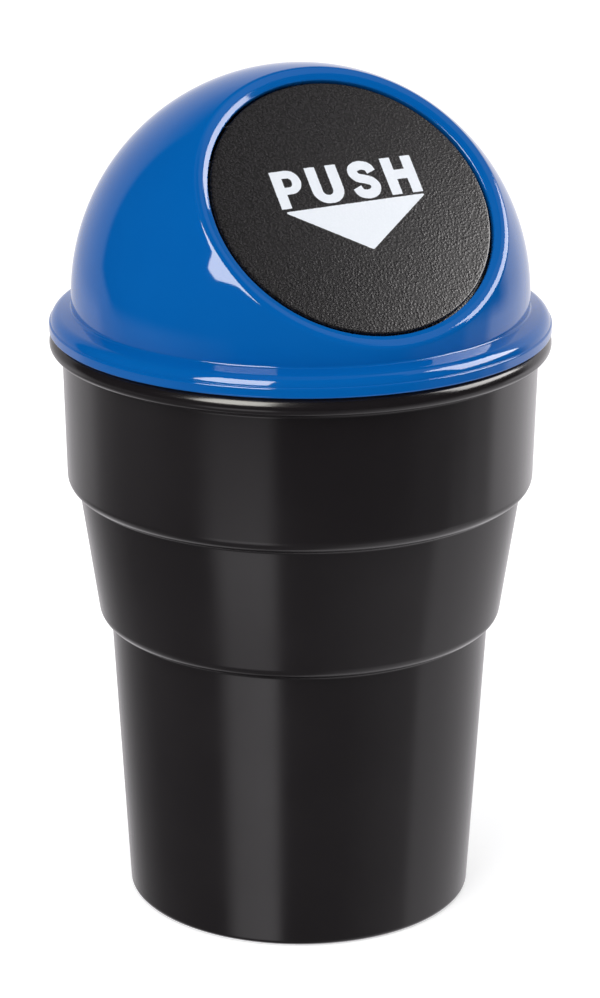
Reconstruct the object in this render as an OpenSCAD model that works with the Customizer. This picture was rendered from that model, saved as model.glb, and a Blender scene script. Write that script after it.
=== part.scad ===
// Mini trash bin for a car's cup holder: a stepped cup, a domed lid and a sprung flap that is pushed in.
// Z is up, the origin is the middle of the base, and the flap faces -Y.

/* [Cup] */
// Diameter of the base
base_d = 70; // [60:0.1:80]
// Height of the low tier, which drops into a cup holder
low_h = 59.4; // [45:0.1:75]
// How much wider the low tier is at its top than at its base
low_flare = 6.8; // [2:0.1:12]
// Width of the ledge between the low and the middle tier
low_ledge = 2.2; // [1.8:0.1:4]
// Height of the middle tier
mid_h = 28; // [20:0.1:40]
// How much wider the middle tier is at its top than at its bottom
mid_flare = 8; // [2:0.1:12]
// Width of the ledge between the middle and the top tier
mid_ledge = 2.2; // [1.8:0.1:4]
// Height of the top tier, up to the rim's top
top_h = 31.8; // [24:0.1:45]
// How much wider the top tier is at its top than at its bottom
top_flare = 1.4; // [0.5:0.1:4]
// Thickness of the cup's wall
cup_wall = 1.6; // [1.2:0.1:2.2]
// Thickness of the cup's floor
floor_t = 2; // [1.4:0.1:3]
// Height of the foot ring under the floor
foot_h = 0.8; // [0.4:0.1:2]
// Width of the foot ring
foot_w = 3.4; // [2:0.1:6]
// Rounding of the base's outer edge
base_edge_r = 1.4; // [0.5:0.1:2]
// Rounding of each tier's lower outer edge
ledge_edge_r = 1.2; // [0.4:0.1:1.4]
// Fillet under each ledge
ledge_cove_r = 0.9; // [0.3:0.1:1.2]
// Rounding of both corners of each ledge inside the cup
ledge_in_r = 0.9; // [0.3:0.1:1]
// Fillet between the floor and the wall inside the cup
floor_cove_r = 1.4; // [0.5:0.1:3]

/* [Rim] */
// How far the rim stands out from the cup's wall
rim_w = 2.5; // [1.8:0.1:4]
// Height of the rim
rim_h = 3.8; // [2.6:0.1:5]
// Rounding of the rim's upper outer edge
rim_top_r = 2.2; // [0.3:0.1:2.4]
// Rounding of the rim's lower outer edge
rim_low_r = 1.5; // [0.4:0.1:1.6]
// Fillet between the rim and the cup's wall
rim_cove_r = 0.8; // [0.3:0.1:1]

/* [Lid] */
// Thickness of the lid's wall
lid_wall = 1.6; // [1.2:0.1:2.2]
// Gap between the lid's plug and the cup's mouth
plug_gap = 0.3; // [0.2:0.05:0.6]
// Depth of the plug below the brim
plug_h = 9; // [5:0.1:14]
// How much the plug narrows towards its lower edge, on the radius
plug_taper = 0.4; // [0.2:0.05:0.8]
// Height of the brim's upright edge
brim_lip_h = 2.6; // [1.2:0.1:3.4]
// How far the brim's top rises from its edge to the dome
brim_rise = 1.3; // [0.8:0.1:3]
// Rounding of the brim's upper edge
brim_edge_r = 1.8; // [0.3:0.1:2]
// Rounding of the brim's lower edge
brim_low_r = 0.4; // [0.2:0.1:0.5]
// Fillet between the brim and the dome
brim_cove_r = 1.5; // [0.5:0.1:2]

/* [Flap opening] */
// Angle of the lid's round face, measured from its normal to the horizontal
face_tilt = 45; // [35:0.5:60]
// Diameter of the opening
opening_d = 57.6; // [48:0.1:62]
// Width of the bezel round the opening
bezel_w = 3.1; // [2.8:0.1:6]
// How far the bezel's middle stands above its edges
bezel_crown = 0.25; // [0.1:0.05:0.5]
// Rounding of the bezel's outer edge, where it meets the dome
bezel_edge_r = 0.9; // [0.4:0.1:1.2]
// Rounding of the opening's edge
opening_edge_r = 0.35; // [0.2:0.05:0.5]
// Least height of the bezel's lower edge above the brim's fillet
face_clear = 1.45; // [0.3:0.05:3]

/* [Flap] */
// Gap between the flap and the edge of the opening
flap_gap = 0.55; // [0.4:0.05:1]
// How far the flap's face lies behind the bezel
flap_recess = 0.25; // [0.1:0.05:1]
// Thickness of the flap
flap_t = 1.6; // [1.3:0.1:2.4]
// Rounding of the flap's front edge
flap_edge_r = 0.4; // [0.2:0.05:0.6]
// How far the stop rim reaches behind the bezel
stop_lap = 1; // [0.6:0.1:1.6]
// Thickness of the stop rim
stop_t = 1.2; // [0.8:0.1:2]
// Width of the stop rim's band on the flap
stop_band = 2.5; // [1.5:0.1:4]
// Gap between the stop rim and the back of the bezel
stop_gap = 0.15; // [0.05:0.05:0.3]
// How far below the hinge line the stop rim ends
stop_below_hinge = 7.5; // [6:0.1:14]

/* [Hinge] */
// Height of the hinge line above the middle of the opening, along the face
hinge_up = 21.5; // [18:0.1:22.5]
// Diameter of the hinge pin
pin_d = 2; // [1.6:0.1:2.6]
// Gap between the pin and its lugs, on the radius
pin_seat_gap = 0.02; // [0.01:0.01:0.05]
// Gap between the pin and the flap's barrels, on the radius
pin_run_gap = 0.06; // [0.03:0.01:0.1]
// Chamfer at the ends of the pin
pin_chamfer = 0.3; // [0.1:0.1:0.5]
// Wall of the lugs and of the barrels round the pin
barrel_wall = 1.3; // [1:0.1:1.6]
// Thickness of each lug
lug_t = 2.2; // [1.6:0.1:3]
// Gap between each barrel and its lug
barrel_gap = 0.3; // [0.2:0.05:0.6]
// Width of the web that joins each barrel to the flap
web_w = 3; // [2:0.1:4]
// How far the lugs' snap slots are narrower than the pin
snap_grip = 0.4; // [0.2:0.1:0.6]

/* [Spring] */
// Diameter of the spring's wire
wire_d = 0.7; // [0.5:0.05:0.9]
// Mean diameter of the coil
coil_d = 4.4; // [4:0.1:5]
// Number of turns
coil_turns = 6; // [3:1:9]
// Gap between two turns
turn_gap = 0.2; // [0.1:0.05:0.4]
// Gap between the wire and what its legs press on
leg_gap = 0.1; // [0.05:0.05:0.3]
// Gap between the coil and the back of the flap
coil_gap = 0.3; // [0.2:0.05:0.6]
// Length of the leg on the flap
leg_l = 14; // [8:0.1:18]
// Length of the seat under each leg
seat_l = 2; // [1.6:0.1:4]

/* [Hidden] */

// Length that carries each cut past the surface it opens
over = 1;
// Largest turn between two neighbouring points of a rounded corner
corner_step = 15;
// Turn by which a rounding that runs into the dome crosses it and doesn't only graze it
cross_turn = 4;
// Steps in the bezel's crowned section
crown_points = 6;
// Sides of the spring's wire and points in each of its turns
wire_sides = 8;
turn_points = 16;

// Radii of the cup's outer wall at the foot and the top of each tier
low_r0 = base_d / 2;
low_r1 = low_r0 + low_flare / 2;
mid_r0 = low_r1 + low_ledge;
mid_r1 = mid_r0 + mid_flare / 2;
top_r0 = mid_r1 + mid_ledge;
mouth_r = top_r0 + top_flare / 2;
rim_r = mouth_r + rim_w;

// Rounding of the free edges of the foot, the cup's mouth and the plug
foot_edge_r = foot_h / 3;
cup_edge_r = cup_wall / 3;
plug_edge_r = lid_wall / 3;

// Roundings of the rim and the brim, held to the straight that their height and width leave
edge_flat = 0.1;
rim_under_r = min(rim_low_r, rim_w - rim_cove_r - edge_flat);
rim_over_r = min(rim_top_r, rim_h - rim_under_r - edge_flat);
brim_over_r = min(brim_edge_r, brim_lip_h - brim_low_r - edge_flat);

// Heights of the two ledges and of the rim's top, where the lid rests
ledge1_z = low_h;
ledge2_z = low_h + mid_h;
seat_z = ledge2_z + top_h;

// The plug below the dome fits the cup's mouth
dome_r = mouth_r - cup_wall - plug_gap;
dome_in_r = dome_r - lid_wall;
brim_top_z = seat_z + brim_lip_h + brim_rise;
drum_top_z = brim_top_z + brim_cove_r;

// The face is a plane across the dome, and the dome's centre stands just high enough to keep it off the brim
opening_r = opening_d / 2;
face_r = opening_r + bezel_w;
face_d = sqrt(pow(dome_r, 2) - pow(face_r, 2));
face_turn = acos(face_d / dome_r);
dome_z = drum_top_z + face_clear + max(0, face_r * cos(face_tilt) - face_d * sin(face_tilt));
drum_r = sqrt(pow(dome_r, 2) - pow(dome_z - drum_top_z, 2));

// The dome's wall ends inside the brim, and the drum's wall ends inside the dome's
dome_foot_z = seat_z + brim_lip_h;
drum_end_z = drum_top_z + face_clear / 2;
drum_end_r = dome_in_r + lid_wall / 2;
plug_r = drum_r - plug_taper;
plug_in_r = plug_r - lid_wall;

// Depths behind the face
flap_back = flap_recess + flap_t;
stop_front = lid_wall + stop_gap;
hinge_depth = flap_back + coil_gap + (coil_d + wire_d) / 2;
leg_depth = hinge_depth - coil_d / 2;
leg_front = leg_depth - wire_d / 2;

// Round parts of the hinge
flap_r = opening_r - flap_gap;
pin_r = pin_d / 2;
barrel_r = pin_r + barrel_wall;
lug_x = sqrt(pow(opening_r + barrel_gap, 2) - pow(hinge_up - barrel_r, 2));
pin_l = 2 * (lug_x + lug_t);
web_x = sqrt(pow(flap_r - flap_edge_r, 2) - pow(hinge_up + barrel_r, 2)) - web_w;

// Places of the spring's two legs along the pin
coil_pitch = wire_d + turn_gap;
coil_half = coil_turns * coil_pitch / 2;

// The fixed leg ends with its seat, or short of the dome's wall where that is nearer
wall_r = sqrt(pow(dome_in_r, 2) - pow(face_d - leg_front, 2));
wall_y = sqrt(pow(wall_r - leg_gap, 2) - pow(coil_half + wire_d / 2, 2));
fixed_leg_y = min(opening_r + flap_gap + seat_l, wall_y);

function unit(v) = v / norm(v);
function flat(lists) = [for (list = lists) each list];
function flat_point(p) = [p[0], p[1]];

// The arc that rounds corner b, which is [x, y, radius], on the way from a to c
function rounded_corner(a, b, c) =
    let (
        to_a = unit(flat_point(a) - flat_point(b)),
        to_c = unit(flat_point(c) - flat_point(b)),
        half = acos(to_a * to_c) / 2,
        centre = flat_point(b) + unit(to_a + to_c) * b[2] / sin(half),
        from = flat_point(b) + to_a * b[2] / tan(half) - centre,
        side = sign(to_a[0] * to_c[1] - to_a[1] * to_c[0]),
        start = atan2(from[1], from[0]),
        steps = max(2, ceil((180 - 2 * half) / corner_step))
    )
    [for (i = [0 : steps])
        let (angle = start - side * (180 - 2 * half) * i / steps)
        centre + b[2] * [cos(angle), sin(angle)]];

// An outline whose corners are [x, y, radius], where radius 0 leaves a sharp corner
function rounded(points) =
    let (n = len(points))
    flat([for (i = [0 : n - 1])
        points[i][2] == 0
            ? [flat_point(points[i])]
            : rounded_corner(points[(i + n - 1) % n], points[i], points[(i + 1) % n])]);

// Puts a shape on the face: x across, y up the face, z out of it, from the middle of the opening
module on_face() {
    translate([0, 0, dome_z])
        rotate([90 - face_tilt, 0, 0])
            translate([0, 0, face_d])
                children();
}

// Puts a shape on the hinge line, still with z out of the face
module on_hinge() {
    on_face()
        translate([0, hinge_up, -hinge_depth])
            children();
}

// A round bar along x between two places
module bar(x0, x1, r) {
    translate([x0, 0, 0])
        rotate([0, 90, 0])
            cylinder(h = x1 - x0, r = r, $fn = 48);
}

module bin_cup() {
    floor_z = foot_h + floor_t;
    outside = [
        [0, foot_h, 0],
        [low_r0 - foot_w, foot_h, 0],
        [low_r0 - foot_w, 0, foot_edge_r],
        [low_r0, 0, base_edge_r],
        [low_r1, ledge1_z, ledge_cove_r],
        [mid_r0, ledge1_z, ledge_edge_r],
        [mid_r1, ledge2_z, ledge_cove_r],
        [top_r0, ledge2_z, ledge_edge_r],
        [mouth_r, seat_z - rim_h, rim_cove_r],
        [rim_r, seat_z - rim_h, rim_under_r],
        [rim_r, seat_z, rim_over_r]
    ];
    inside = [
        [mouth_r - cup_wall, seat_z, cup_edge_r],
        [top_r0 - cup_wall, ledge2_z + cup_wall, ledge_in_r],
        [mid_r1 - cup_wall, ledge2_z + cup_wall, ledge_in_r],
        [mid_r0 - cup_wall, ledge1_z + cup_wall, ledge_in_r],
        [low_r1 - cup_wall, ledge1_z + cup_wall, ledge_in_r],
        [low_r0 - cup_wall, floor_z, floor_cove_r],
        [0, floor_z, 0]
    ];
    color("#1b1c1e")
        rotate_extrude($fn = 120)
            polygon(rounded(concat(outside, inside)));
}

// Section of the dome and its bezel about the face's own axis
module dome_section() {
    edge_turn = face_turn - cross_turn;
    past_edge = [face_r, face_d] + 2 * over * [cos(edge_turn), -sin(edge_turn)];
    crown = [for (i = [1 : crown_points - 1])
        let (s = i / crown_points)
        [face_r - bezel_w * s, face_d + 4 * bezel_crown * s * (1 - s), 0]];
    keep = concat(
        [
            [0, -dome_r - over, 0],
            [dome_r + 3 * over, -dome_r - over, 0],
            [dome_r + 3 * over, past_edge[1], 0],
            [past_edge[0], past_edge[1], 0],
            [face_r, face_d, bezel_edge_r]
        ],
        crown,
        [
            [opening_r, face_d, opening_edge_r],
            [opening_r, face_d - lid_wall - over, 0],
            [0, face_d - lid_wall - over, 0]
        ]
    );
    difference() {
        intersection() {
            circle(r = dome_r, $fn = 180);
            polygon(rounded(keep));
        }
        intersection() {
            circle(r = dome_in_r, $fn = 180);
            translate([-dome_r, -2 * dome_r])
                square([2 * dome_r, 2 * dome_r + face_d - lid_wall]);
        }
    }
}

// The drum, the brim and the plug below them, about the lid's upright axis
module brim_and_plug() {
    lean = tan(cross_turn);
    section = [
        [drum_end_r, drum_end_z, 0],
        [drum_r - (drum_end_z - drum_top_z) * lean, drum_end_z, 0],
        [drum_r + brim_cove_r * lean, brim_top_z, brim_cove_r],
        [rim_r, brim_top_z - brim_rise, brim_over_r],
        [rim_r, seat_z, brim_low_r],
        [drum_r, seat_z, 0],
        [plug_r, seat_z - plug_h, plug_edge_r],
        [plug_in_r, seat_z - plug_h, plug_edge_r],
        [plug_in_r, dome_foot_z, 0]
    ];
    rotate_extrude($fn = 120)
        polygon(rounded(section));
}

// The lug on one side of the flap, standing on the back of the bezel
module lug(side) {
    on_hinge()
        mirror([side, 0, 0]) {
            bar(lug_x, lug_x + lug_t, barrel_r);
            translate([lug_x, -barrel_r, 0])
                cube([lug_t, 2 * barrel_r, hinge_depth - lid_wall / 2]);
        }
}

// What is cut from the lug on one side: the pin's seat and the slot through which the pin snaps in
module lug_cut(side) {
    slot_w = pin_d - snap_grip;
    on_hinge()
        mirror([side, 0, 0]) {
            bar(lug_x - over, lug_x + lug_t + over, pin_r + pin_seat_gap);
            translate([lug_x - over, -slot_w / 2, -barrel_r - over])
                cube([lug_t + 2 * over, slot_w, barrel_r + over]);
        }
}

module dome_lid() {
    color("#0b5cab")
        difference() {
            union() {
                intersection() {
                    translate([0, 0, dome_z])
                        rotate([90 - face_tilt, 0, 0])
                            rotate_extrude($fn = 180)
                                dome_section();
                    translate([-dome_r - over, -dome_r - over, dome_foot_z])
                        cube([2 * (dome_r + over), 2 * (dome_r + over), 2 * dome_r]);
                }
                brim_and_plug();
                intersection() {
                    union() {
                        lug(0);
                        lug(1);
                        on_face()
                            translate([-coil_half - wire_d, opening_r + flap_gap, -leg_front + leg_gap])
                                cube([2 * wire_d, seat_l, leg_front - leg_gap - lid_wall / 2]);
                    }
                    translate([0, 0, dome_z])
                        sphere(r = dome_r - lid_wall / 2, $fn = 120);
                }
            }
            lug_cut(0);
            lug_cut(1);
        }
}

module push_flap() {
    disc = [
        [0, -flap_back, 0],
        [flap_r, -flap_back, 0],
        [flap_r, -flap_recess, flap_edge_r],
        [0, -flap_recess, 0]
    ];
    stop_r = opening_r + stop_lap;
    stop_in_r = flap_r - stop_band;
    stop_back = stop_front + stop_t;
    stop_top = hinge_up - stop_below_hinge;
    root_r = flap_r - flap_edge_r;
    root_depth = flap_back - flap_t / 2;
    stop_rim = [
        [stop_in_r, -stop_back],
        [stop_r, -stop_back],
        [stop_r, -stop_front],
        [root_r, -stop_front],
        [root_r, -root_depth],
        [stop_in_r, -root_depth]
    ];
    color("#232325")
        difference() {
            union() {
                on_face()
                    rotate_extrude($fn = 120)
                        polygon(rounded(disc));
                on_face()
                    intersection() {
                        rotate_extrude($fn = 120)
                            polygon(stop_rim);
                        translate([-stop_r - over, -stop_r - over, -stop_back - over])
                            cube([2 * (stop_r + over), stop_r + over + stop_top, stop_back + over]);
                    }
                for (side = [0, 1])
                    on_hinge()
                        mirror([side, 0, 0]) {
                            bar(web_x, lug_x - barrel_gap, barrel_r);
                            translate([web_x, -barrel_r, 0])
                                cube([web_w, 2 * barrel_r, hinge_depth - flap_back + flap_t / 2]);
                        }
                on_face()
                    translate([coil_half - wire_d, hinge_up - leg_l, -leg_front + leg_gap])
                        cube([2 * wire_d, seat_l, leg_front - leg_gap - flap_back + flap_t / 2]);
            }
            on_hinge()
                bar(-lug_x, lug_x, pin_r + pin_run_gap);
        }
}

module hinge_pin() {
    section = [
        [0, -pin_l / 2],
        [pin_r - pin_chamfer, -pin_l / 2],
        [pin_r, -pin_l / 2 + pin_chamfer],
        [pin_r, pin_l / 2 - pin_chamfer],
        [pin_r - pin_chamfer, pin_l / 2],
        [0, pin_l / 2]
    ];
    color("silver")
        on_hinge()
            rotate([0, 90, 0])
                rotate_extrude($fn = 48)
                    polygon(section);
}

// Rings of the wire round each point of its route, which never runs along x
function wire_rings(route) =
    let (n = len(route))
    [for (i = [0 : n - 1])
        let (
            along = unit(route[min(i + 1, n - 1)] - route[max(i - 1, 0)]),
            side = unit(cross(along, [1, 0, 0])),
            up = cross(side, along)
        )
        for (k = [0 : wire_sides - 1])
            let (angle = 360 * k / wire_sides)
            route[i] + wire_d / 2 * (cos(angle) * side + sin(angle) * up)];

module wire(route) {
    n = len(route);
    last = (n - 1) * wire_sides;
    skin = [for (i = [0 : n - 2], k = [0 : wire_sides - 1])
        let (
            a = i * wire_sides + k,
            b = i * wire_sides + (k + 1) % wire_sides
        )
        [a, b, b + wire_sides, a + wire_sides]];
    caps = [
        [for (k = [wire_sides - 1 : -1 : 0]) k],
        [for (k = [0 : wire_sides - 1]) last + k]
    ];
    polyhedron(points = wire_rings(route), faces = concat(caps, skin), convexity = 4);
}

module return_spring() {
    coil_r = coil_d / 2;
    fixed_leg_l = fixed_leg_y - hinge_up;
    coil = [for (i = [0 : coil_turns * turn_points])
        let (turned = i / turn_points)
        [-coil_half + turned * coil_pitch, coil_r * cos(90 + 360 * turned), coil_r * sin(90 + 360 * turned)]];
    route = concat([[-coil_half, fixed_leg_l, coil_r]], coil, [[coil_half, -leg_l, coil_r]]);
    color("gainsboro")
        on_hinge()
            wire(route);
}

bin_cup();
dome_lid();
push_flap();
hinge_pin();
return_spring();
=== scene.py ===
# A mini trash bin for a car's cup holder, dressed for a plain pale studio.
# Lengths named _mm are millimetres; the scene itself is in metres, with Z up and the flap facing -Y.
import math

import bmesh
import bpy
from mathutils import Matrix, Vector, noise


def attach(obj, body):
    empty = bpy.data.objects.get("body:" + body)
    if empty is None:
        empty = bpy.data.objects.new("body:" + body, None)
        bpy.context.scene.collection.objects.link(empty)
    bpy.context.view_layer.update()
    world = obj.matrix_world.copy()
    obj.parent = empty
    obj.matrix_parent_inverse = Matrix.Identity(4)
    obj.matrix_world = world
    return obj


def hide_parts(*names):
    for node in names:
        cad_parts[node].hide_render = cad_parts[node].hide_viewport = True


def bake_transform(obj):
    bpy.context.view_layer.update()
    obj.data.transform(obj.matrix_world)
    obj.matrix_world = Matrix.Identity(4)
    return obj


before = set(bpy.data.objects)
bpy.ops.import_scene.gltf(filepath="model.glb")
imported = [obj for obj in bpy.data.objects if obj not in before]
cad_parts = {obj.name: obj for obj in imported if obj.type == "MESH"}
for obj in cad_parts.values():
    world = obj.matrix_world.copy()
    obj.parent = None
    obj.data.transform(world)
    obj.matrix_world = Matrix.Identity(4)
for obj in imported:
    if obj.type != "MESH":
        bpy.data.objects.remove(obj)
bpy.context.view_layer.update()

MM = 0.001

# Cup: radii and heights of its outer wall, its wall and its floor
LOW_R0, LOW_R1 = 35.0, 38.4
MID_R0, MID_R1 = 40.6, 44.6
TOP_R0, MOUTH_R = 46.8, 47.5
RIM_R = 50.0
LEDGE1_Z, LEDGE2_Z, SEAT_Z = 59.4, 87.4, 119.2
LEDGE_SLOPE = 0.45
CUP_WALL, FLOOR_T = 1.6, 2.0
FOOT_H, FOOT_W = 0.8, 3.4
RIM_H = 3.8

# Lid: the dome, the drum below it, the brim and the plug
DOME_R, LID_WALL = 45.6, 1.6
DOME_IN_R = DOME_R - LID_WALL
BRIM_TOP_Z, DRUM_TOP_Z = 123.9, 125.2
BRIM_EDGE_R, BRIM_EDGE_Z = 49.36, 122.9
BRIM_STEP_R, BRIM_STEP_Z = 49.7, 121.15
PLUG_H = 9.0
DOME_FOOT_Z = 121.8
PLUG_END_R, PLUG_END_Z = 43.87, 122.65

# Face across the dome: its tilt, the opening and the bezel round it
FACE_TILT = math.radians(45)
OPENING_R, BEZEL_W = 28.8, 3.1
FACE_R = OPENING_R + BEZEL_W
FACE_D = math.sqrt(DOME_R ** 2 - FACE_R ** 2)
DOME_Z = 126.05
DRUM_R = math.sqrt(DOME_R ** 2 - (DOME_Z - DRUM_TOP_Z) ** 2)
PLUG_R = 45.177

# Flap, its stop rim, and the hinge and spring behind it
FLAP_R, FLAP_RECESS, FLAP_T, FLAP_CROWN = 28.25, 0.25, 1.6, 0.2
FLAP_BACK = FLAP_RECESS + FLAP_T
STOP_R, STOP_IN_R, STOP_FRONT, STOP_T, STOP_TOP = 29.8, 25.75, 1.75, 1.2, 14.0
HINGE_UP, HINGE_DEPTH = 21.5, 4.7
PIN_R, BARREL_R, PIN_RUN_GAP, PIN_SEAT_GAP = 1.0, 2.3, 0.06, 0.02
LUG_X = math.sqrt((OPENING_R + 0.3) ** 2 - (HINGE_UP - BARREL_R) ** 2)
LUG_T, BARREL_GAP, WEB_W, SNAP_GRIP = 2.2, 0.3, 3.0, 0.4
WEB_X = math.sqrt((FLAP_R - 0.4) ** 2 - (HINGE_UP + BARREL_R) ** 2) - WEB_W
WIRE_D, COIL_R, COIL_TURNS, TURN_GAP, LEG_L, SEAT_L = 0.7, 2.2, 6, 0.2, 14.0, 2.0
COIL_PITCH = WIRE_D + TURN_GAP
COIL_HALF = COIL_TURNS * COIL_PITCH / 2
LEG_FRONT = HINGE_DEPTH - COIL_R - WIRE_D / 2
LEG_GAP = 0.1
SEAT_Y = OPENING_R + 0.55
FIXED_LEG_L = SEAT_Y + SEAT_L - HINGE_UP

ROUND_STEPS = 300
CORNER_STEP = math.radians(8)
GUARD_MM = 0.12


# Places

def face_place():
    """From the face's own axes (x across, y up the face, z out of it) to the scene, in millimetres."""
    across = Vector((1, 0, 0))
    up = Vector((0, math.sin(math.pi / 2 - FACE_TILT), math.sin(FACE_TILT)))
    out = Vector((0, -math.cos(FACE_TILT), math.sin(FACE_TILT)))
    middle = Vector((0, 0, DOME_Z)) + out * FACE_D
    return Matrix.Translation(middle) @ Matrix((across, up, out)).transposed().to_4x4()


def hinge_place():
    """As face_place, but from the hinge line."""
    return face_place() @ Matrix.Translation((0, HINGE_UP, -HINGE_DEPTH))


# Outlines

def rounded(corners, closed=True):
    """Outline through corners (x, y, radius), each radius as an arc of short steps."""
    points = []
    count = len(corners)
    for i, (x, y, radius) in enumerate(corners):
        here = Vector((x, y))
        ends_here = not closed and i in (0, count - 1)
        if radius == 0 or ends_here:
            points.append(here)
            continue
        before = (Vector(corners[i - 1][:2]) - here).normalized()
        after = (Vector(corners[(i + 1) % count][:2]) - here).normalized()
        half = before.angle(after) / 2
        centre = here + (before + after).normalized() * radius / math.sin(half)
        start = here + before * radius / math.tan(half) - centre
        turn = math.pi - 2 * half
        side = 1 if before.x * after.y - before.y * after.x < 0 else -1
        steps = max(3, math.ceil(turn / CORNER_STEP))
        for k in range(steps + 1):
            angle = side * turn * k / steps
            cos_a, sin_a = math.cos(angle), math.sin(angle)
            turned = (start.x * cos_a - start.y * sin_a, start.x * sin_a + start.y * cos_a)
            points.append(centre + Vector(turned))
    return points


def guarded(points, closed=True):
    """Adds a point close to both ends of each long straight, so that smooth shading stays in the rounding."""
    result = []
    last = len(points) if closed else len(points) - 1
    for i in range(last):
        a, b = points[i], points[(i + 1) % len(points)]
        result.append(a)
        length = (b - a).length
        if length > 6 * GUARD_MM:
            result.append(a.lerp(b, GUARD_MM / length))
            result.append(a.lerp(b, 1 - GUARD_MM / length))
    if not closed:
        result.append(points[-1])
    return result


# Meshes

def mesh_object(name, verts_mm, faces, place=None):
    """A smooth mesh from points in millimetres, merged, closed and with its faces outwards."""
    place = place or Matrix()
    mesh = bpy.data.meshes.new(name)
    mesh.from_pydata([(place @ Vector(v)) * MM for v in verts_mm], [], faces)
    work = bmesh.new()
    work.from_mesh(mesh)
    bmesh.ops.remove_doubles(work, verts=work.verts, dist=1e-8)
    bmesh.ops.recalc_face_normals(work, faces=work.faces)
    work.to_mesh(mesh)
    work.free()
    mesh.shade_smooth()
    piece = bpy.data.objects.new(name, mesh)
    bpy.context.scene.collection.objects.link(piece)
    return piece


def skin(rows, closed_rows=True):
    """Points and faces of a skin over rows of points. A row of one point is a pole."""
    verts = []
    starts = []
    for row in rows:
        starts.append(len(verts))
        verts.extend(row)
    faces = []
    pairs = range(len(rows)) if closed_rows else range(len(rows) - 1)
    for i in pairs:
        j = (i + 1) % len(rows)
        a, b = starts[i], starts[j]
        count_a, count_b = len(rows[i]), len(rows[j])
        steps = max(count_a, count_b)
        for k in range(steps):
            n = (k + 1) % steps
            if count_a == 1:
                faces.append((a, b + k, b + n))
            elif count_b == 1:
                faces.append((a + k, b, a + n))
            else:
                faces.append((a + k, b + k, b + n, a + n))
    return verts, faces


def revolve(name, outline, place=None, steps=ROUND_STEPS):
    """A closed piece from an outline of (radius, height) turned about its axis."""
    rows = []
    for radius, height in outline:
        if radius < 1e-6:
            rows.append([(0, 0, height)])
        else:
            turns = [2 * math.pi * k / steps for k in range(steps)]
            rows.append([(radius * math.cos(t), radius * math.sin(t), height) for t in turns])
    closed_rows = len(rows[0]) > 1 or len(rows[-1]) > 1
    return mesh_object(name, *skin(rows, closed_rows), place)


def prism(name, outline, x0, x1, place):
    """A flat outline of (y, z) carried along x."""
    count = len(outline)
    verts = [(x0, y, z) for y, z in outline] + [(x1, y, z) for y, z in outline]
    faces = [tuple(range(count)), tuple(range(2 * count - 1, count - 1, -1))]
    for i in range(count):
        n = (i + 1) % count
        faces.append((i, n, count + n, count + i))
    return mesh_object(name, verts, faces, place)


def eased(piece, width_mm=0.12, angle=math.radians(40)):
    """Small bevels on the sharp edges of a piece."""
    bevel = piece.modifiers.new("eased edges", "BEVEL")
    bevel.width = width_mm * MM
    bevel.segments = 2
    bevel.limit_method = "ANGLE"
    bevel.angle_limit = angle
    bevel.harden_normals = False
    baked(piece)
    return piece


def baked(piece):
    """Turns a piece with modifiers into a plain mesh and drops the modifiers."""
    depsgraph = bpy.context.evaluated_depsgraph_get()
    mesh = bpy.data.meshes.new_from_object(piece.evaluated_get(depsgraph), depsgraph=depsgraph)
    piece.modifiers.clear()
    piece.data = mesh
    mesh.name = piece.name
    return piece


def joined(name, pieces):
    """One object from several, its parts as separate closed shells."""
    work = bmesh.new()
    for piece in pieces:
        work.from_mesh(piece.data)
        bpy.data.objects.remove(piece)
    mesh = bpy.data.meshes.new(name)
    work.to_mesh(mesh)
    work.free()
    mesh.shade_smooth()
    whole = bpy.data.objects.new(name, mesh)
    bpy.context.scene.collection.objects.link(whole)
    return whole


def crisp(piece, angle=math.radians(50)):
    """Marks the edges that stay sharp in smooth shading."""
    mesh = piece.data
    mesh.set_sharp_from_angle(angle=angle)
    return piece


# Cup

def make_cup():
    """The stepped cup with its rolled rim, foot ring and both ledges, outside and in."""
    floor_z = FOOT_H + FLOOR_T
    corners = [
        (0, FOOT_H, 0),
        (LOW_R0 - FOOT_W, FOOT_H, 0.3),
        (LOW_R0 - FOOT_W, 0, FOOT_H / 3),
        (LOW_R0, 0, 1.1),
        (LOW_R1, LEDGE1_Z - LEDGE_SLOPE, 0.6),
        (MID_R0, LEDGE1_Z + LEDGE_SLOPE, 2.6),
        (MID_R1, LEDGE2_Z - LEDGE_SLOPE, 0.6),
        (TOP_R0, LEDGE2_Z + LEDGE_SLOPE, 2.6),
        (MOUTH_R, SEAT_Z - RIM_H, 0.8),
        (RIM_R, SEAT_Z - RIM_H, 1.5),
        (RIM_R, SEAT_Z, 2.2),
        (MOUTH_R - CUP_WALL, SEAT_Z, CUP_WALL / 3),
        (TOP_R0 - CUP_WALL, LEDGE2_Z + CUP_WALL, 0.9),
        (MID_R1 - CUP_WALL, LEDGE2_Z + CUP_WALL, 0.9),
        (MID_R0 - CUP_WALL, LEDGE1_Z + CUP_WALL, 0.9),
        (LOW_R1 - CUP_WALL, LEDGE1_Z + CUP_WALL, 0.9),
        (LOW_R0 - CUP_WALL, floor_z, 1.4),
        (0, floor_z, 0),
    ]
    outline = guarded(rounded(corners, closed=False), closed=False)
    return revolve("cup_body", outline)


# Lid

def slerp(a, b, t):
    """A point on the great circle from a to b, both from the same centre."""
    angle = a.angle(b)
    if angle < 1e-7:
        return a.lerp(b, t)
    return (a * math.sin((1 - t) * angle) + b * math.sin(t * angle)) / math.sin(angle)


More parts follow.
